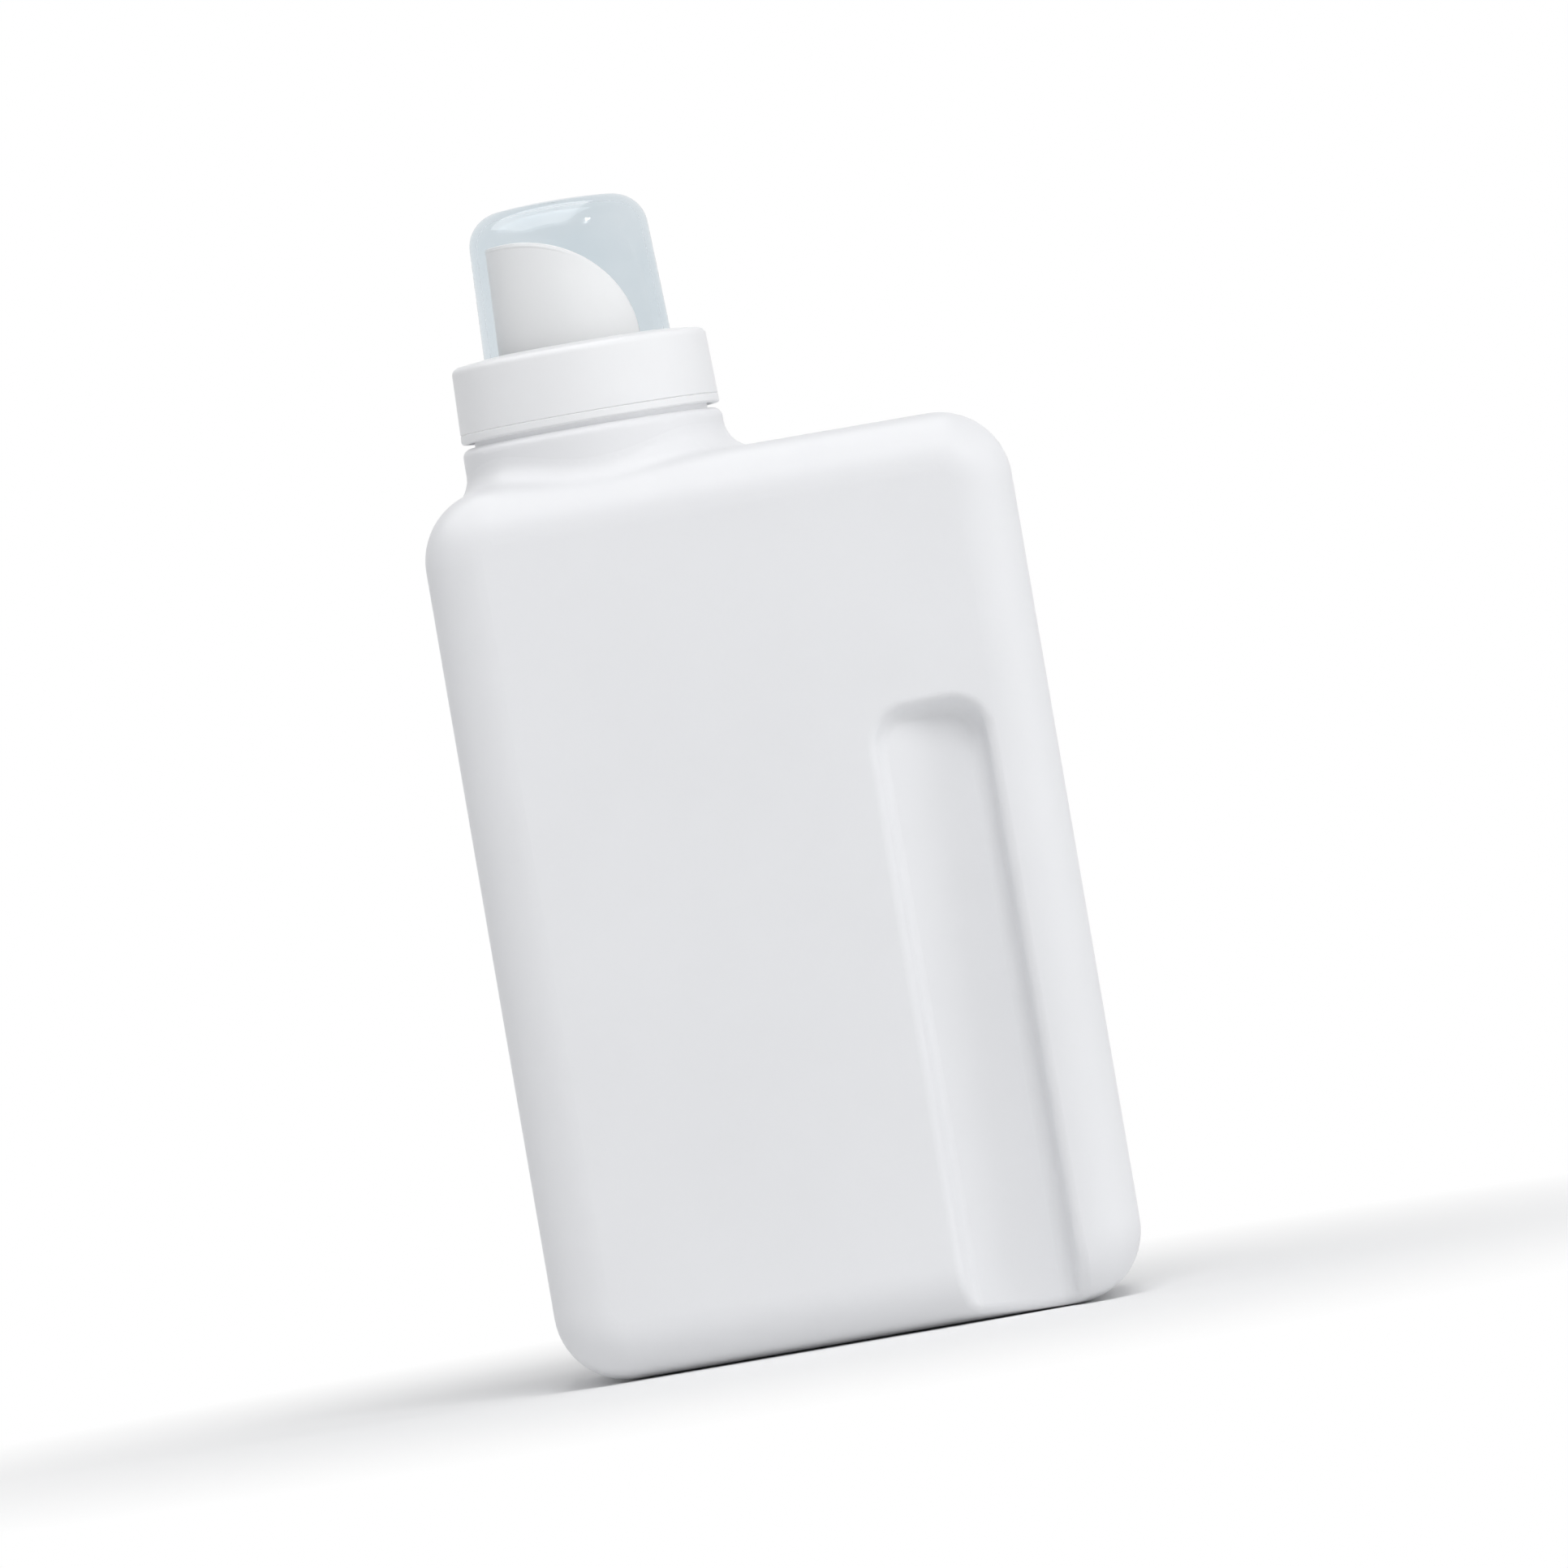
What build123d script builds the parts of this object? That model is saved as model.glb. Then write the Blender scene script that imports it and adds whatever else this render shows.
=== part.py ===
from build123d import *

import os
from math import atan2, degrees, radians, tan

# Flat blow-moulded bottle with an offset neck, a press-in pouring spout and a two-piece measuring cap.
# Millimetres, +Z up, origin at the middle of the base. The broad front face looks along -Y, the neck
# stands on the -X side and the finger recesses lie on the +X side.

# Bottle body
BODY_WIDTH = 102.0
BODY_DEPTH = 58.0
BODY_HEIGHT = 155.0
BODY_CORNER_RADIUS = 12.5
BODY_EDGE_RADIUS = 10.0
BODY_WALL = 1.2

# Hollow pushed up into the base, inside the standing rim
PUSH_UP_RIM = 5.0
PUSH_UP_DEPTH = 2.0
PUSH_UP_SLOPE = 3.0
PUSH_UP_CORNER_RADIUS = 9.0

# Finger recess, one on each broad face; its inner side is the one towards the bottle's middle
GRIP_SIDE_MARGIN = 11.5
GRIP_FLOOR_WIDTH = 17.3
GRIP_HEIGHT = 106.5
GRIP_INNER_DEPTH = 4.0
GRIP_OUTER_DEPTH = 8.0
GRIP_TOP_DEPTH = 2.0
GRIP_INNER_SLOPE = 1.8
GRIP_OUTER_SLOPE = 1.2
GRIP_TOP_SLOPE = 2.0
GRIP_CORNER_RADIUS = 6.0
GRIP_FLOOR_RADIUS = 2.2
GRIP_RIM_RADIUS = 1.8

# Neck on its pedestal
NECK_SIDE_DISTANCE = 32.0
NECK_WALL = 1.75
NECK_LENGTH = 10.2
PEDESTAL_HEIGHT = 7.7
PEDESTAL_STEP = 0.1
PEDESTAL_EDGE_RADIUS = 1.6
PEDESTAL_FOOT_RADIUS = 5.0

# Measuring cup, upside down on the neck
CUP_FOOT_RADIUS = 16.35
CUP_DRAFT = 2.2
CUP_RISE = 25.3
CUP_WALL = 1.2
CUP_TOP_RADIUS = 6.0
CUP_CROWN = 1.2
CUP_FLANGE = 1.4
CUP_LIP = 5.0

# Pouring spout, pressed into the neck
SPOUT_WALL = 1.1
SPOUT_FLANGE = 1.2
SPOUT_HEADROOM = 5.4
SPOUT_TIP_FLAT = 3.0
SPOUT_SLOT_INSET = 2.8
TROUGH_DEPTH = 11.0
TROUGH_SLOPE = 7.0
PLUG_SKIRT = 1.2

# Screw ring of the cap
RING_WALL = 1.25
RING_DRAFT = 1.8
RING_LIP = 1.6
RING_CROWN = 0.7
RING_EDGE_RADIUS = 1.3
RING_FOOT_RADIUS = 0.5
RING_GROOVE_HEIGHT = 1.6
RING_GROOVE_DEPTH = 0.2

# Clearances between the pieces
PLUG_CLEARANCE = 0.05
LIP_CLEARANCE = 1.15
SPOUT_CLEARANCE = 1.45
THREAD_ROOM = 1.0
FLANGE_INSET = 0.25
RING_PLAY = 0.3
RING_GAP = 0.8

# Heights of the seats, from the shoulder up
pedestal_top = BODY_HEIGHT + PEDESTAL_HEIGHT
neck_top = pedestal_top + NECK_LENGTH
spout_seat = neck_top + SPOUT_FLANGE
cup_flange_top = spout_seat + CUP_FLANGE
ring_lip_under = cup_flange_top + RING_PLAY
ring_top = ring_lip_under + RING_LIP
ring_bottom = pedestal_top + RING_GAP
cup_top = ring_top + CUP_RISE
spout_tip = cup_top - CUP_WALL - SPOUT_HEADROOM
trough_low = spout_seat - TROUGH_DEPTH

# Radii about the neck's axis, from the cup outwards
cup_slope = tan(radians(CUP_DRAFT))
spout_foot = CUP_FOOT_RADIUS - CUP_WALL - SPOUT_CLEARANCE
plug_bore = CUP_FOOT_RADIUS + LIP_CLEARANCE
plug_radius = plug_bore + SPOUT_WALL
neck_bore = plug_radius + PLUG_CLEARANCE
neck_radius = neck_bore + NECK_WALL
flange_radius = neck_radius - FLANGE_INSET
ring_bore = neck_radius + THREAD_ROOM
ring_radius = ring_bore + RING_WALL
pedestal_radius = ring_radius + PEDESTAL_STEP

neck_axis = Pos(NECK_SIDE_DISTANCE - BODY_WIDTH / 2, 0, 0)
front = BODY_DEPTH / 2
grip_outer = BODY_WIDTH / 2 - GRIP_SIDE_MARGIN
grip_hinge = grip_outer - GRIP_OUTER_SLOPE - GRIP_FLOOR_WIDTH


def turned(*points):
    """Revolve a closed (radius, height) outline about Z."""
    return revolve(Plane.XZ * make_face(Polyline(*points, close=True)), Axis.Z)


def disc(radius, bottom, top):
    """Upright cylinder about Z between two heights."""
    return Pos(0, 0, bottom) * Cylinder(radius, top - bottom, align=(Align.CENTER, Align.CENTER, Align.MIN))


def rings_of(solid, radius):
    """The level circular edges of a solid with a given radius."""
    circles = solid.edges().filter_by(GeomType.CIRCLE).filter_by(Plane.XY)
    return [edge for edge in circles if abs(edge.radius - radius) < 0.001]


def grip_section(inner_share, outer_share, grow):
    """Outline of the finger recess, grown by a wall, with its walls run down by shares of their slopes."""
    left = grip_hinge - GRIP_INNER_SLOPE * (1 - inner_share) - grow
    right = grip_outer - GRIP_OUTER_SLOPE * outer_share + grow
    top = GRIP_HEIGHT - GRIP_TOP_SLOPE * outer_share + grow
    bottom = -BODY_EDGE_RADIUS
    outline = make_face(Polyline((left, bottom), (right, bottom), (right, top), (left, top), close=True))
    upper_corners = outline.vertices().sort_by(Axis.Y)[2:]
    return Plane.XZ * fillet(upper_corners, GRIP_CORNER_RADIUS)


def grip_cutter(grow):
    """Tool for the front recess; its flat floor deepens outwards and down to the base, where it ends."""
    lean = degrees(atan2(GRIP_OUTER_DEPTH - GRIP_INNER_DEPTH, GRIP_FLOOR_WIDTH))
    rise = degrees(atan2(GRIP_INNER_DEPTH - GRIP_TOP_DEPTH, GRIP_HEIGHT))
    mouth = grip_section(-BODY_WALL / GRIP_INNER_DEPTH, -BODY_WALL / GRIP_OUTER_DEPTH, grow)
    mouth = Pos(0, -front - BODY_WALL, 0) * mouth
    floor = grip_section(1 + grow / GRIP_INNER_DEPTH, 1 + grow / GRIP_OUTER_DEPTH, grow)
    floor = Rot(rise, 0, lean) * Pos(-grip_hinge, 0, 0) * floor
    floor = Pos(grip_hinge, GRIP_INNER_DEPTH + grow - front, 0) * floor
    tool = loft([mouth, floor], ruled=True)
    floor_face = tool.faces().sort_by(Axis.Y)[-1]
    floor_edges = floor_face.edges().sort_by(Axis.Z)[1:]
    return fillet(floor_edges, GRIP_FLOOR_RADIUS + grow)


def push_up_cutter(grow):
    """Tool for the hollow in the base, with sloped sides, grown by a wall."""
    width = BODY_WIDTH - 2 * (BODY_CORNER_RADIUS + PUSH_UP_RIM - grow)
    depth = BODY_DEPTH - 2 * (BODY_EDGE_RADIUS + PUSH_UP_RIM - grow)
    radius = PUSH_UP_CORNER_RADIUS + grow
    mouth = RectangleRounded(width, depth, radius)
    crown = RectangleRounded(width - 2 * PUSH_UP_SLOPE, depth - 2 * PUSH_UP_SLOPE, radius - PUSH_UP_SLOPE)
    return loft([mouth, Pos(0, 0, PUSH_UP_DEPTH + grow) * crown], ruled=True)


def body_form(inset, rim_radius=0):
    """The bottle's outer form without its neck, or the same form set in by a wall."""
    outline = RectangleRounded(
        BODY_WIDTH - 2 * inset,
        BODY_HEIGHT - 2 * inset,
        BODY_CORNER_RADIUS - inset,
    )
    form = extrude(Pos(0, 0, BODY_HEIGHT / 2) * (Plane.XZ * outline), front - inset, both=True)
    broad_faces = form.faces().filter_by(Axis.Y).sort_by(Axis.Y)
    form = fillet(broad_faces[0].edges() + broad_faces[-1].edges(), BODY_EDGE_RADIUS - inset)
    front_grip = grip_cutter(inset)
    for grip in (front_grip, mirror(front_grip, Plane.XZ)):
        cut = form - grip
        if rim_radius:
            cut = fillet(new_edges(form, grip, combined=cut), rim_radius)
        form = cut
    return form - push_up_cutter(inset)


def make_bottle_body():
    """Hollow body, pedestal and open neck in one moulding."""
    skin = body_form(0, GRIP_RIM_RADIUS)
    shoulder = BODY_HEIGHT - BODY_CORNER_RADIUS
    pedestal = neck_axis * disc(pedestal_radius, shoulder, pedestal_top)
    joined = skin + pedestal
    joined = fillet(new_edges(skin, pedestal, combined=joined), PEDESTAL_FOOT_RADIUS)
    joined = fillet(joined.edges().sort_by(Axis.Z)[-1], PEDESTAL_EDGE_RADIUS)
    neck = neck_axis * disc(neck_radius, shoulder, neck_top)
    hollow = body_form(BODY_WALL)
    hollow += neck_axis * disc(pedestal_radius - BODY_WALL, shoulder, pedestal_top - BODY_WALL)
    hollow += neck_axis * disc(neck_bore, shoulder, neck_top)
    return joined + neck - hollow


def trough_height(x):
    """Height of the sloped trough floor, which falls towards the slot on the +X side."""
    return trough_low + (plug_bore - x) * tan(radians(TROUGH_SLOPE))


def spout_cone(inset, bottom):
    """Solid form of the pouring tube, drafted as the cup is, or the same form set in by a wall."""
    foot = spout_foot - inset
    top = foot - CUP_RISE * cup_slope
    return turned((0, bottom), (foot, bottom), (foot, ring_top), (top, cup_top), (0, cup_top))


def make_pour_spout():
    """Plug with a rim flange, a sloped drip trough, and a pouring tube cut by a quarter-ellipse swoop."""
    plug_bottom = trough_low - SPOUT_WALL - PLUG_SKIRT
    plug = turned(
        (plug_bore, plug_bottom),
        (plug_radius, plug_bottom),
        (plug_radius, neck_top),
        (flange_radius, neck_top),
        (flange_radius, spout_seat),
        (plug_bore, spout_seat),
    )
    floor_side = Polyline(
        (-flange_radius, trough_height(-flange_radius)),
        (flange_radius, trough_height(flange_radius)),
        (flange_radius, trough_height(flange_radius) - SPOUT_WALL),
        (-flange_radius, trough_height(-flange_radius) - SPOUT_WALL),
        close=True,
    )
    floor = extrude(Plane.XZ * make_face(floor_side), flange_radius, both=True)
    floor = floor & disc(plug_bore + SPOUT_WALL / 2, plug_bottom, spout_seat)
    slot = spout_foot - SPOUT_SLOT_INSET
    swoop_rise = spout_tip - ring_top
    swoop_start = swoop_rise * cup_slope - spout_foot + SPOUT_TIP_FLAT
    swoop = EllipticalCenterArc((swoop_start, ring_top), slot - swoop_start, swoop_rise, arc_size=90)
    straight_sides = Polyline(
        (swoop_start, spout_tip),
        (-plug_bore, spout_tip),
        (-plug_bore, trough_height(-plug_bore) - SPOUT_WALL / 2),
        (slot, trough_height(slot) - SPOUT_WALL / 2),
        (slot, ring_top),
    )
    tube = extrude(Plane.XZ * make_face(swoop + straight_sides), plug_bore, both=True)
    tube = tube & spout_cone(0, plug_bottom)
    spout = plug + floor + tube - spout_cone(SPOUT_WALL, plug_bottom)
    return neck_axis * spout


def cup_form(inset):
    """The cup's outer form without its flange, or the same form set in by a wall."""
    lip_bottom = spout_seat - CUP_LIP
    foot = CUP_FOOT_RADIUS - inset
    top = cup_top - inset
    edge_height = top - CUP_CROWN
    edge_radius = foot - (edge_height - ring_top) * cup_slope
    side = Polyline(
        (0, top),
        (0, lip_bottom),
        (foot, lip_bottom),
        (foot, ring_top),
        (edge_radius, edge_height),
    )
    crown = TangentArc((0, top), (edge_radius, edge_height), tangent=(1, 0))
    form = revolve(Plane.XZ * make_face(side + crown), Axis.Z)
    return fillet(rings_of(form, edge_radius), CUP_TOP_RADIUS - inset)


def make_measuring_cup():
    """Tapered cup with a crowned top, a flange that the ring traps, and a pouring lip below it."""
    flange = disc(flange_radius, spout_seat, cup_flange_top)
    return neck_axis * (cup_form(0) + flange - cup_form(CUP_WALL))


def make_cap_ring():
    """Screw ring with a drafted skirt, a groove near its foot and an inner lip over the cup's flange."""
    ring_slope = tan(radians(RING_DRAFT))
    edge_height = ring_top - RING_CROWN
    edge_radius = ring_radius - (edge_height - ring_bottom) * ring_slope
    groove_radius = ring_radius - RING_GROOVE_HEIGHT * ring_slope
    groove_height = ring_bottom + RING_GROOVE_HEIGHT
    lip_bore = CUP_FOOT_RADIUS + RING_PLAY
    ring = turned(
        (ring_bore, ring_bottom),
        (ring_radius, ring_bottom),
        (edge_radius, edge_height),
        (lip_bore, ring_top),
        (lip_bore, ring_lip_under),
        (ring_bore, ring_lip_under),
    )
    ring = fillet(rings_of(ring, edge_radius), RING_EDGE_RADIUS)
    ring = fillet(rings_of(ring, ring_radius), RING_FOOT_RADIUS)
    ring -= turned(
        (groove_radius - RING_GROOVE_DEPTH, groove_height),
        (ring_radius, groove_height - RING_GROOVE_DEPTH),
        (ring_radius, groove_height + RING_GROOVE_DEPTH),
    )
    return neck_axis * ring


os.makedirs("parts", exist_ok=True)
export_step(make_bottle_body(), "parts/bottle_body.step")
export_step(make_pour_spout(), "parts/pour_spout.step")
export_step(make_measuring_cup(), "parts/measuring_cup.step")
export_step(make_cap_ring(), "parts/cap_ring.step")
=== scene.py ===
"""Looks of the flat white bottle with its translucent measuring cap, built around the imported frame."""

import math

import bmesh
import bpy
from mathutils import Matrix, Vector


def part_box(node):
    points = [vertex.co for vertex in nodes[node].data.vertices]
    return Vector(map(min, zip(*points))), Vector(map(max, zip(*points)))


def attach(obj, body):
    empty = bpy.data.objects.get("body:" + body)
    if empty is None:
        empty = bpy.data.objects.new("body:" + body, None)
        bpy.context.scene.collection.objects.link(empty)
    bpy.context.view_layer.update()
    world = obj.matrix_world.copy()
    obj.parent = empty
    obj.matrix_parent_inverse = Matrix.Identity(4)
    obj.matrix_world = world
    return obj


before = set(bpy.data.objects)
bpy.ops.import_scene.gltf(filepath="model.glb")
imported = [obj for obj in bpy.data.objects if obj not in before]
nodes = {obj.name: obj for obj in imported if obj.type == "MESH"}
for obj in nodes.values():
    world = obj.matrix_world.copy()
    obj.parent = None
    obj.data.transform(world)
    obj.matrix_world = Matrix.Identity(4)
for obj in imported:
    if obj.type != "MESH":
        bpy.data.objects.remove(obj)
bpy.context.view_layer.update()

MM = 0.001

# Places read from the frame
ring_low, ring_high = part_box("cap_ring")
body_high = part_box("bottle_body")[1]
spout_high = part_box("pour_spout")[1]
axis_x = (ring_low[0] + ring_high[0]) / 2
neck_top = body_high[2]
ring_bottom = ring_low[2]

# Screw thread: neck and ring ridges pass each other with a small gap
NECK_RADIUS = 20.4 * MM
RING_BORE = 21.4 * MM
THREAD_HEIGHT = 0.44 * MM
THREAD_WIDTH = 1.7 * MM
THREAD_PITCH = 3.6 * MM
THREAD_TURNS = 1.6
THREAD_ROOT = 0.15 * MM
THREAD_STEPS = 96
THREAD_DROP = 7.6 * MM
THREAD_START_ANGLE = 0.4
# Turns over which the ridge fades in and out, and what is left of its height and width at the ends
THREAD_FADE_TURNS = 0.16
THREAD_END_HEIGHT = 0.02
THREAD_END_WIDTH = 0.45
# Half of the ridge's outline, as shares of its height and half width
THREAD_PROFILE = ((0, 1), (0.7, 0.66), (1, 0.34))

# Middle of the cup's wall: the bend at its top, as radius and height, and the draft that the spout shares
CUP_BEND = (9.62 * MM, 196.3 * MM)
CUP_BEND_RADIUS = 5.4 * MM
CUP_TAPER = 0.0384

# Rounded rim of the spout: the tube's foot radius and wall, and the slot that ends its swoop
SPOUT_FOOT = 13.7 * MM
SPOUT_WALL = 1.1 * MM
SPOUT_SLOT = 10.9 * MM
SPOUT_TIP_FLAT = 3.0 * MM
RIM_RADIUS = 0.62 * MM
RIM_SINK = 0.42 * MM
RIM_SIDES = 12
SWOOP_STEPS = 60
TIP_STEPS = 20

# Parting line of the blow mould
SEAM_WIDTH = 0.5 * MM
SEAM_HEIGHT = 0.07 * MM
SEAM_ROOT = 0.05 * MM
SEAM_STEP = 0.15 * MM
SEAM_FADE_STEPS = 3
SEAM_END_HEIGHT = 0.03
# The ridge's outline, as shares of its half width and height; below zero it is sunk into the wall
SEAM_PROFILE = ((-1, -1), (-0.62, 0.55), (-0.25, 0.95), (0.25, 0.95), (0.62, 0.55), (1, -1))
# Where the seam is looked for on the narrow side, and how far it runs
SEAM_START_HEIGHT = 60 * MM
SEAM_SIDE_MARGIN = 0.05 * MM
SEAM_TOP = ring_bottom - 3.0 * MM
SEAM_BOTTOM = 2.5 * MM

# Distances in metres within which points of the body's mesh are one, or lie on the cutting plane
WELD_DISTANCE = 1e-6
CUT_DISTANCE = 1e-7


def add_mesh(name, verts, faces):
    """A new smooth object from plain lists, with its faces turned outwards."""
    mesh = bpy.data.meshes.new(name)
    mesh.from_pydata([tuple(v) for v in verts], [], faces)
    bm = bmesh.new()
    bm.from_mesh(mesh)
    bmesh.ops.recalc_face_normals(bm, faces=bm.faces)
    bm.to_mesh(mesh)
    bm.free()
    for face in mesh.polygons:
        face.use_smooth = True
    mesh.update()
    obj = bpy.data.objects.new(name, mesh)
    bpy.context.scene.collection.objects.link(obj)
    return obj


def sweep(name, sections):
    """A closed solid through a row of sections with equal point counts, capped at both ends."""
    count = len(sections[0])
    verts = [p for section in sections for p in section]
    faces = []
    for i in range(len(sections) - 1):
        for k in range(count):
            n = (k + 1) % count
            faces.append((i * count + k, i * count + n, (i + 1) * count + n, (i + 1) * count + k))
    faces.append(tuple(range(count)))
    last = (len(sections) - 1) * count
    faces.append(tuple(last + k for k in reversed(range(count))))
    return add_mesh(name, verts, faces)


def ease(t):
    """A smooth step from 0 to 1."""
    t = min(max(t, 0.0), 1.0)
    return t * t * (3 - 2 * t)


def thread(name, radius, outward, start_z):
    """A helical ridge about the neck's axis, fading out at both ends."""
    total = int(THREAD_STEPS * THREAD_TURNS)
    sections = []
    for i in range(total + 1):
        share = i / total
        fade_in = ease(share * THREAD_TURNS / THREAD_FADE_TURNS)
        fade_out = ease((1 - share) * THREAD_TURNS / THREAD_FADE_TURNS)
        fade = max(fade_in * fade_out, THREAD_END_HEIGHT)
        angle = THREAD_START_ANGLE + share * THREAD_TURNS * 2 * math.pi
        z = start_z + share * THREAD_TURNS * THREAD_PITCH
        half = THREAD_WIDTH / 2 * (THREAD_END_WIDTH + (1 - THREAD_END_WIDTH) * fade)
        lower = [(rise * THREAD_HEIGHT * fade, -along * half) for rise, along in THREAD_PROFILE]
        lower.insert(0, (-THREAD_ROOT, -half))
        upper = [(rise, -along) for rise, along in reversed(lower)]
        section = []
        for rise, along in lower + upper:
            r = radius + outward * rise
            section.append((axis_x + r * math.cos(angle), r * math.sin(angle), z + along))
        sections.append(section)
    return sweep(name, sections)


def side_section(obj):
    """The lines where the plane y = 0 cuts a mesh: each point's neighbours, and its place."""
    bm = bmesh.new()
    bm.from_mesh(obj.data)
    bmesh.ops.remove_doubles(bm, verts=bm.verts, dist=WELD_DISTANCE)
    geom = bm.verts[:] + bm.edges[:] + bm.faces[:]
    cut = bmesh.ops.bisect_plane(bm, geom=geom, plane_co=(0, 0, 0), plane_no=(0, 1, 0), dist=CUT_DISTANCE)
    edges = [e for e in cut["geom_cut"] if isinstance(e, bmesh.types.BMEdge)]
    bm.verts.index_update()
    near = {}
    places = {}
    for edge in edges:
        a, b = edge.verts
        near.setdefault(a.index, []).append(b.index)
        near.setdefault(b.index, []).append(a.index)
        places[a.index] = a.co.copy()
        places[b.index] = b.co.copy()
    bm.free()
    return near, places


def walk(near, places, start, first, keep):
    """Follow a cut line from one point through a neighbour for as long as keep allows."""
    path = [start, first]
    while True:
        ahead = [k for k in near[path[-1]] if k != path[-2]]
        if not ahead or not keep(places[ahead[0]]) or ahead[0] == start:
            return [places[k] for k in path]
        path.append(ahead[0])


def seam_strip(name, points):
    """A low rounded ridge along a line in the plane y = 0."""
    clean = [points[0]]
    for p in points[1:]:
        if (p - clean[-1]).length > SEAM_STEP:
            clean.append(p)
    last = len(clean) - 1
    sections = []
    for i, p in enumerate(clean):
        along = (clean[min(i + 1, last)] - clean[max(i - 1, 0)]).normalized()
        out = Vector((along.z, 0, -along.x))
        fade = ease(min(i, last - i) / SEAM_FADE_STEPS) * (1 - SEAM_END_HEIGHT) + SEAM_END_HEIGHT
        section = []
        for side, rise in SEAM_PROFILE:
            lift = SEAM_HEIGHT * rise * fade if rise > 0 else -SEAM_ROOT
            section.append(p + Vector((0, side * SEAM_WIDTH / 2, 0)) + out * lift)
        sections.append(section)
    return sweep(name, sections)


def facing_out(points):
    """The same line, run so that the seam's ridge points away from the bottle."""
    widest = max(range(1, len(points) - 1), key=lambda i: abs(points[i].x))
    along = points[widest + 1] - points[widest - 1]
    return points if along.z * points[widest].x > 0 else points[::-1]


def swoop_line():
    """Points along the front half of the spout's rim, from slot to tip, each with the cut's normal."""
    foot_z = ring_high[2]
    rise = spout_high[2] - foot_z
    start = rise * CUP_TAPER - SPOUT_FOOT + SPOUT_TIP_FLAT
    reach = SPOUT_SLOT - start
    flat = []
    for i in range(SWOOP_STEPS + 1):
        angle = math.pi / 2 * i / SWOOP_STEPS
        normal = Vector((math.cos(angle) / reach, 0, math.sin(angle) / rise)).normalized()
        flat.append((start + reach * math.cos(angle), foot_z + rise * math.sin(angle), normal))
    tip = SPOUT_FOOT - rise * CUP_TAPER - SPOUT_WALL / 2
    first = math.acos(-start / tip)
    for i in range(1, TIP_STEPS + 1):
        turn = first * (1 - i / TIP_STEPS)
        flat.append((-tip * math.cos(turn), spout_high[2], Vector((0, 0, 1))))
    line = []
    for x, z, normal in flat:
        radius = SPOUT_FOOT - (z - foot_z) * CUP_TAPER - SPOUT_WALL / 2
        depth = math.sqrt(max(radius * radius - x * x, 0))
        line.append((Vector((axis_x + x, -depth, z)), normal))
    return line


def rounded_rim(name):
    """A round bead sunk into the top edge of the spout's wall, along its front half and back again."""
    line = swoop_line()
    line += [(Vector((p.x, -p.y, p.z)), n) for p, n in line[-2::-1]]
    last = len(line) - 1
    sections = []
    for i, (p, normal) in enumerate(line):
        along = (line[min(i + 1, last)][0] - line[max(i - 1, 0)][0]).normalized()
        across = along.cross(normal).normalized()
        centre = p - normal * RIM_SINK
        section = []
        for k in range(RIM_SIDES):
            angle = 2 * math.pi * k / RIM_SIDES
            section.append(centre + (across * math.cos(angle) + normal * math.sin(angle)) * RIM_RADIUS)
        sections.append(section)
    return sweep(name, sections)


# Rim of the spout
spout_rim = rounded_rim("spout_rim")
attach(spout_rim, "bottle")

# Threads
neck_thread = thread("neck_thread", NECK_RADIUS, 1, neck_top - THREAD_DROP)
ring_thread = thread("ring_thread", RING_BORE, -1, neck_top - THREAD_DROP + THREAD_PITCH / 2)
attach(neck_thread, "bottle")
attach(ring_thread, "ring")

# Parting line over both narrow sides and the shoulder
near, places = side_section(nodes["bottle_body"])
seams = []
for sign, name in ((1, "seam_right"), (-1, "seam_left")):
    side_points = [k for k in places if sign * places[k].x > body_high[0] - SEAM_SIDE_MARGIN]
    start = min(side_points, key=lambda k: abs(places[k].z - SEAM_START_HEIGHT))
    up = max(near[start], key=lambda k: places[k].z)
    down = min(near[start], key=lambda k: places[k].z)
    upper = walk(near, places, start, up, lambda p: p.z < SEAM_TOP)
    lower = walk(near, places, start, down, lambda p: p.z > SEAM_BOTTOM)
    seam = seam_strip(name, facing_out(lower[::-1] + upper[1:]))
    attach(seam, "bottle")
    seams.append(seam)


# Moulded plastic: scales of its patterns per metre, and the heights of its waves and grain
CLOUD_SCALE = 26
CLOUD_SHADE = 0.975
PATCH_SCALE = 140
GLOSS_SPREAD = 0.05
WAVE_SCALE = 45
WAVE_HEIGHT = 0.6 * MM
GRAIN_SCALE = 2200
GRAIN_HEIGHT = 0.05 * MM
PLASTIC_IOR = 1.5

# The cup's plastic: an index close to air's keeps what is inside undistorted, and the coat has the gloss
CUP_CLOUD_SCALE = 60
CUP_LEAST_STAIN = 0.85
CUP_PATCH_SCALE = 180
CUP_GLOSS_SPREAD = 0.03
CUP_WAVE_SCALE = 70
CUP_WAVE_HEIGHT = 0.3 * MM
CUP_WAVE = 0.06
CUP_IOR = 1.01
CUP_COAT = 0.5
CUP_COAT_IOR = 1.45


def start_material(name):
    """An empty node material with its output and a Principled shader."""
    material = bpy.data.materials.new(name)
    material.use_nodes = True
    tree = material.node_tree
    tree.nodes.clear()
    output = tree.nodes.new("ShaderNodeOutputMaterial")
    shader = tree.nodes.new("ShaderNodeBsdfPrincipled")
    return material, tree, output, shader


def feed(tree, socket, value):
    """Give a socket a link, a number or a colour."""
    if isinstance(value, bpy.types.NodeSocket):
        tree.links.new(value, socket)
    elif isinstance(value, tuple):
        socket.default_value = (*value, 1)
    else:
        socket.default_value = value


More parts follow.
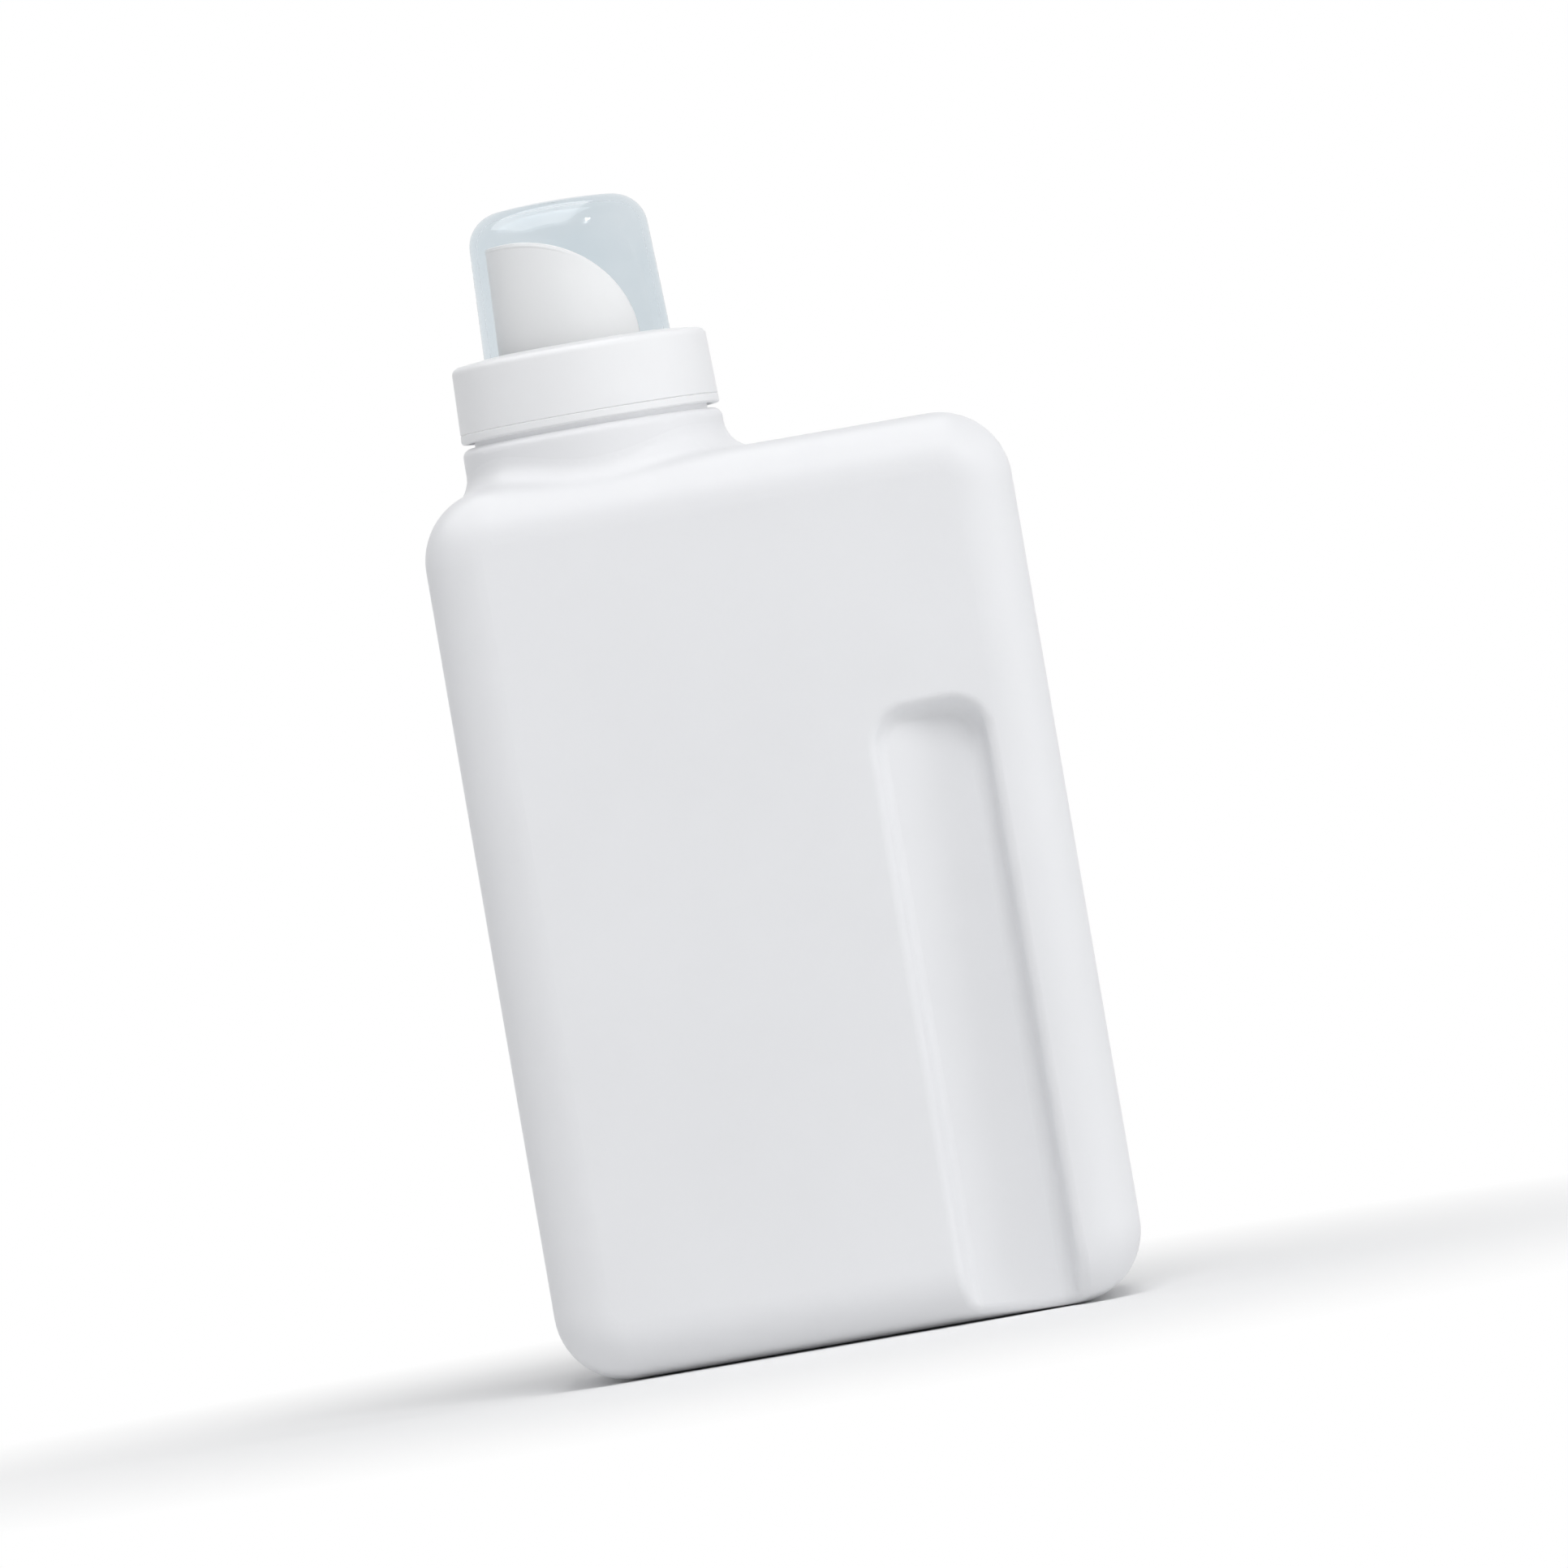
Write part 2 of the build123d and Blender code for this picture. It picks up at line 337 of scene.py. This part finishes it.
def noise(tree, coords, scale, detail, roughness=0.5):
    """A noise texture's value."""
    node = tree.nodes.new("ShaderNodeTexNoise")
    feed(tree, node.inputs["Scale"], scale)
    feed(tree, node.inputs["Detail"], detail)
    feed(tree, node.inputs["Roughness"], roughness)
    feed(tree, node.inputs["Vector"], coords)
    return node.outputs["Fac"]


def remap(tree, value, low, high, start=0.3, end=0.7):
    """A value's span from start to end, by default the span of most noise, made to run from low to high."""
    node = tree.nodes.new("ShaderNodeMapRange")
    feed(tree, node.inputs["From Min"], start)
    feed(tree, node.inputs["From Max"], end)
    feed(tree, node.inputs["To Min"], low)
    feed(tree, node.inputs["To Max"], high)
    feed(tree, node.inputs["Value"], value)
    return node.outputs["Result"]


def bump(tree, height, distance, strength, normal=None):
    """A normal bent by a height, on top of another bent normal if there is one."""
    node = tree.nodes.new("ShaderNodeBump")
    feed(tree, node.inputs["Distance"], distance)
    feed(tree, node.inputs["Strength"], strength)
    feed(tree, node.inputs["Height"], height)
    if normal is not None:
        feed(tree, node.inputs["Normal"], normal)
    return node.outputs["Normal"]


def blend(tree, factor, first, second):
    """A colour between two others, each a colour or a socket."""
    node = tree.nodes.new("ShaderNodeMix")
    node.data_type = "RGBA"
    feed(tree, node.inputs["A"], first)
    feed(tree, node.inputs["B"], second)
    feed(tree, node.inputs["Factor"], factor)
    return node.outputs["Result"]


def maths(tree, operation, *values):
    """A Math node; each value is a number or a socket."""
    node = tree.nodes.new("ShaderNodeMath")
    node.operation = operation
    for slot, value in enumerate(values):
        feed(tree, node.inputs[slot], value)
    return node.outputs[0]


def mix_to_output(tree, output, factor, first, second):
    """Join two shaders to the output, the second one in the share that the factor gives."""
    mix = tree.nodes.new("ShaderNodeMixShader")
    feed(tree, mix.inputs["Fac"], factor)
    feed(tree, mix.inputs[1], first)
    feed(tree, mix.inputs[2], second)
    feed(tree, output.inputs["Surface"], mix.outputs["Shader"])


def let_light_through(tree, shader, output, share):
    """Join a shader to the output so that a share of the light falling on it passes straight through."""
    path = tree.nodes.new("ShaderNodeLightPath")
    falling = maths(tree, "MAXIMUM", path.outputs["Is Shadow Ray"], path.outputs["Is Diffuse Ray"])
    through = tree.nodes.new("ShaderNodeBsdfTransparent")
    passing = maths(tree, "MULTIPLY", falling, share)
    mix_to_output(tree, output, passing, shader.outputs["BSDF"], through.outputs["BSDF"])


def moulded(name, colour, roughness, grain, wave, level, sheer=0):
    """Moulded plastic: faint cloudiness in the colour, uneven gloss, a fine grain and soft waviness.

    A sheer one lets that share of the light through each of its faces.
    """
    material, tree, output, shader = start_material(name)
    coords = tree.nodes.new("ShaderNodeTexCoord").outputs["Object"]
    cloud = remap(tree, noise(tree, coords, CLOUD_SCALE, 3), 0, 1)
    dark = tuple(c * CLOUD_SHADE for c in colour)
    feed(tree, shader.inputs["Base Color"], blend(tree, cloud, dark, colour))
    patches = noise(tree, coords, PATCH_SCALE, 4)
    gloss = remap(tree, patches, roughness - GLOSS_SPREAD, roughness + GLOSS_SPREAD)
    feed(tree, shader.inputs["Roughness"], gloss)
    soft = bump(tree, noise(tree, coords, WAVE_SCALE, 1), WAVE_HEIGHT, wave)
    fine = bump(tree, noise(tree, coords, GRAIN_SCALE, 2, 0.6), GRAIN_HEIGHT, grain, soft)
    feed(tree, shader.inputs["Normal"], fine)
    feed(tree, shader.inputs["IOR"], PLASTIC_IOR)
    feed(tree, shader.inputs["Specular IOR Level"], level)
    if sheer:
        let_light_through(tree, shader, output, sheer)
    else:
        feed(tree, output.inputs["Surface"], shader.outputs["BSDF"])
    return material


def outside_of_cup(tree, coords):
    """1 on the cup's outer skin, 0 on its inner one, told apart by the middle of the wall."""
    place = tree.nodes.new("ShaderNodeSeparateXYZ")
    feed(tree, place.inputs[0], coords)
    x, y, z = (place.outputs[k] for k in range(3))
    across = maths(tree, "SUBTRACT", x, axis_x)
    radius = maths(tree, "SQRT", maths(tree, "MULTIPLY_ADD", across, across, maths(tree, "POWER", y, 2)))
    below = maths(tree, "MAXIMUM", maths(tree, "SUBTRACT", CUP_BEND[1], z), 0)
    drafted = maths(tree, "MULTIPLY_ADD", below, -CUP_TAPER, radius)
    out = maths(tree, "MAXIMUM", maths(tree, "SUBTRACT", drafted, CUP_BEND[0]), 0)
    above = maths(tree, "MAXIMUM", maths(tree, "SUBTRACT", z, CUP_BEND[1]), 0)
    reach = maths(tree, "SQRT", maths(tree, "MULTIPLY_ADD", out, out, maths(tree, "POWER", above, 2)))
    return maths(tree, "GREATER_THAN", reach, CUP_BEND_RADIUS)


def translucent(name, near_colour, far_tint_and_painted_shade, roughness):
    """Thin tinted plastic, coloured on its outer skin: the near wall pale, the far wall much darker, partly
    its tint and partly painted shade that makes the empty inside look dimmer than the spout seen through
    the near wall alone.

    All the lamps' light passes it, so that the spout inside is lit.
    """
    material, tree, output, shader = start_material(name)
    coords = tree.nodes.new("ShaderNodeTexCoord").outputs["Object"]
    cloud = remap(tree, noise(tree, coords, CUP_CLOUD_SCALE, 2), CUP_LEAST_STAIN, 1)
    skin = maths(tree, "MULTIPLY", outside_of_cup(tree, coords), cloud)
    # Painted shade: faces seen from their back, the cup's far wall, take the far colour, much darker than
    # the near wall's tint
    far = tree.nodes.new("ShaderNodeNewGeometry").outputs["Backfacing"]
    colour = blend(tree, far, near_colour, far_tint_and_painted_shade)
    feed(tree, shader.inputs["Base Color"], blend(tree, skin, (1, 1, 1), colour))
    patches = noise(tree, coords, CUP_PATCH_SCALE, 3)
    gloss = remap(tree, patches, roughness - CUP_GLOSS_SPREAD, roughness + CUP_GLOSS_SPREAD)
    feed(tree, shader.inputs["Roughness"], gloss)
    feed(tree, shader.inputs["Coat Roughness"], gloss)
    waves = bump(tree, noise(tree, coords, CUP_WAVE_SCALE, 1), CUP_WAVE_HEIGHT, CUP_WAVE)
    feed(tree, shader.inputs["Coat Normal"], waves)
    feed(tree, shader.inputs["IOR"], CUP_IOR)
    feed(tree, shader.inputs["Transmission Weight"], 1.0)
    feed(tree, shader.inputs["Coat Weight"], CUP_COAT)
    feed(tree, shader.inputs["Coat IOR"], CUP_COAT_IOR)
    let_light_through(tree, shader, output, 1)
    return material


bottle_white = moulded("bottle_white", (0.80, 0.805, 0.82), 0.38, grain=0.10, wave=0.05, level=0.16)
spout_white = moulded("spout_white", (0.88, 0.88, 0.88), 0.40, grain=0.08, wave=0.03, level=0.2)
ring_white = moulded("ring_white", (0.835, 0.84, 0.85), 0.42, grain=0.06, wave=0.05, level=0.2, sheer=0.75)
# The cup's second colour, on its far wall, is its tint darkened by painted shade
cup_blue = translucent("cup_blue", (0.89, 0.905, 0.915), (0.39, 0.485, 0.551), 0.1)


def dress(obj, material):
    """Give an object one material."""
    obj.data.materials.clear()
    obj.data.materials.append(material)


dress(nodes["bottle_body"], bottle_white)
dress(nodes["pour_spout"], spout_white)
dress(nodes["measuring_cup"], cup_blue)
dress(nodes["cap_ring"], ring_white)
dress(spout_rim, spout_white)
dress(neck_thread, bottle_white)
dress(ring_thread, ring_white)
for seam in seams:
    dress(seam, bottle_white)


def seen_rays(tree):
    """1 for rays that show the background itself: straight from the camera, mirrored or through the cup."""
    path = tree.nodes.new("ShaderNodeLightPath")
    seen = maths(tree, "MAXIMUM", path.outputs["Is Camera Ray"], path.outputs["Is Glossy Ray"])
    return maths(tree, "MAXIMUM", seen, path.outputs["Is Transmission Ray"])


# Pale floor: plain and lit near the bottle, fading to the white background further out
FLOOR_HALF = 6.0
FLOOR_Z = -0.2 * MM
FLOOR_FADE = (0.06, 0.24)
corners = ((-1, -1), (1, -1), (1, 1), (-1, 1))
floor = add_mesh("floor", [(x * FLOOR_HALF, y * FLOOR_HALF, FLOOR_Z) for x, y in corners], [(0, 1, 2, 3)])
floor_white, tree, output, shader = start_material("floor_white")
feed(tree, shader.inputs["Base Color"], (0.9, 0.9, 0.9))
feed(tree, shader.inputs["Roughness"], 0.8)
feed(tree, shader.inputs["Specular IOR Level"], 0.1)
length = tree.nodes.new("ShaderNodeVectorMath")
length.operation = "LENGTH"
feed(tree, length.inputs[0], tree.nodes.new("ShaderNodeNewGeometry").outputs["Position"])
fade = remap(tree, length.outputs["Value"], 0, 1, *FLOOR_FADE)
glow = tree.nodes.new("ShaderNodeEmission")
feed(tree, glow.inputs["Strength"], 1.0)
seen_far_out = maths(tree, "MULTIPLY", fade, seen_rays(tree))
mix_to_output(tree, output, seen_far_out, shader.outputs["BSDF"], glow.outputs["Emission"])
floor.data.materials.append(floor_white)

# World: white where it is seen, a plain soft light elsewhere
world = bpy.data.worlds.new("studio")
bpy.context.scene.world = world
world.use_nodes = True
tree = world.node_tree
tree.nodes.clear()
output = tree.nodes.new("ShaderNodeOutputWorld")
soft_light = tree.nodes.new("ShaderNodeBackground")
feed(tree, soft_light.inputs["Color"], (0.97, 0.98, 1.0))
feed(tree, soft_light.inputs["Strength"], 0.46)
white = tree.nodes.new("ShaderNodeBackground")
feed(tree, white.inputs["Color"], (1, 1, 1))
feed(tree, white.inputs["Strength"], 1.0)
mix_to_output(tree, output, seen_rays(tree), soft_light.outputs["Background"], white.outputs["Background"])


def soft_box(name, place, aim, width, height, power, mirrored=True, lit=True):
    """A rectangular studio lamp at a place, facing a point; it may only light or only be mirrored."""
    lamp = bpy.data.lights.new(name, "AREA")
    lamp.shape = "RECTANGLE"
    lamp.size = width
    lamp.size_y = height
    lamp.energy = power
    obj = bpy.data.objects.new(name, lamp)
    obj.location = place
    obj.rotation_euler = (Vector(aim) - Vector(place)).to_track_quat("-Z", "Y").to_euler()
    obj.visible_glossy = mirrored
    obj.visible_transmission = mirrored
    obj.visible_diffuse = lit
    bpy.context.scene.collection.objects.link(obj)


# Three lamps light the bottle; the glint and the card are only mirrored, on the cup and along the shoulder
soft_box("key", (0.24, -0.99, 1.32), (0, 0, 0.09), 0.8, 0.8, 12, mirrored=False)
soft_box("side_right", (1.34, -0.40, 0.35), (0, 0, 0.09), 0.35, 0.7, 4.0, mirrored=False)
soft_box("side_left", (-1.38, -0.14, 0.25), (0, 0, 0.09), 0.8, 0.8, 1.8, mirrored=False)
soft_box("glint", (0.86, -0.86, 1.0), (0, 0, 0.15), 0.13, 0.13, 5.0, lit=False)
soft_box("ceiling_card", (-0.6, -0.3, 1.4), (-0.6, -0.3, 0), 2.0, 2.2, 56, lit=False)

# Camera: level and far off, rolled so that the bottle leans to the left as in the photograph
PIXELS_PER_MM = 7.118
PHOTO_WIDTH = 1932
DISTANCE = 2.4
ROLL = math.radians(9.75)
FRAME_WIDTH = PHOTO_WIDTH / PIXELS_PER_MM * MM
CENTRE = Vector((3.4 * MM, 0, 96.4 * MM))
SENSOR_WIDTH = 36
VIEW_LIMIT = 50
camera = bpy.data.objects.new("camera", bpy.data.cameras.new("camera"))
camera.data.sensor_width = SENSOR_WIDTH
camera.data.lens = SENSOR_WIDTH * DISTANCE / FRAME_WIDTH
camera.data.clip_end = VIEW_LIMIT
right = Vector((math.cos(ROLL), 0, -math.sin(ROLL)))
up = Vector((math.sin(ROLL), 0, math.cos(ROLL)))
back = Vector((0, -1, 0))
turn = Matrix((right, up, back)).transposed().to_4x4()
camera.matrix_world = Matrix.Translation(CENTRE + back * DISTANCE) @ turn
bpy.context.scene.collection.objects.link(camera)
bpy.context.scene.camera = camera
bpy.context.scene.view_settings.view_transform = "Standard"
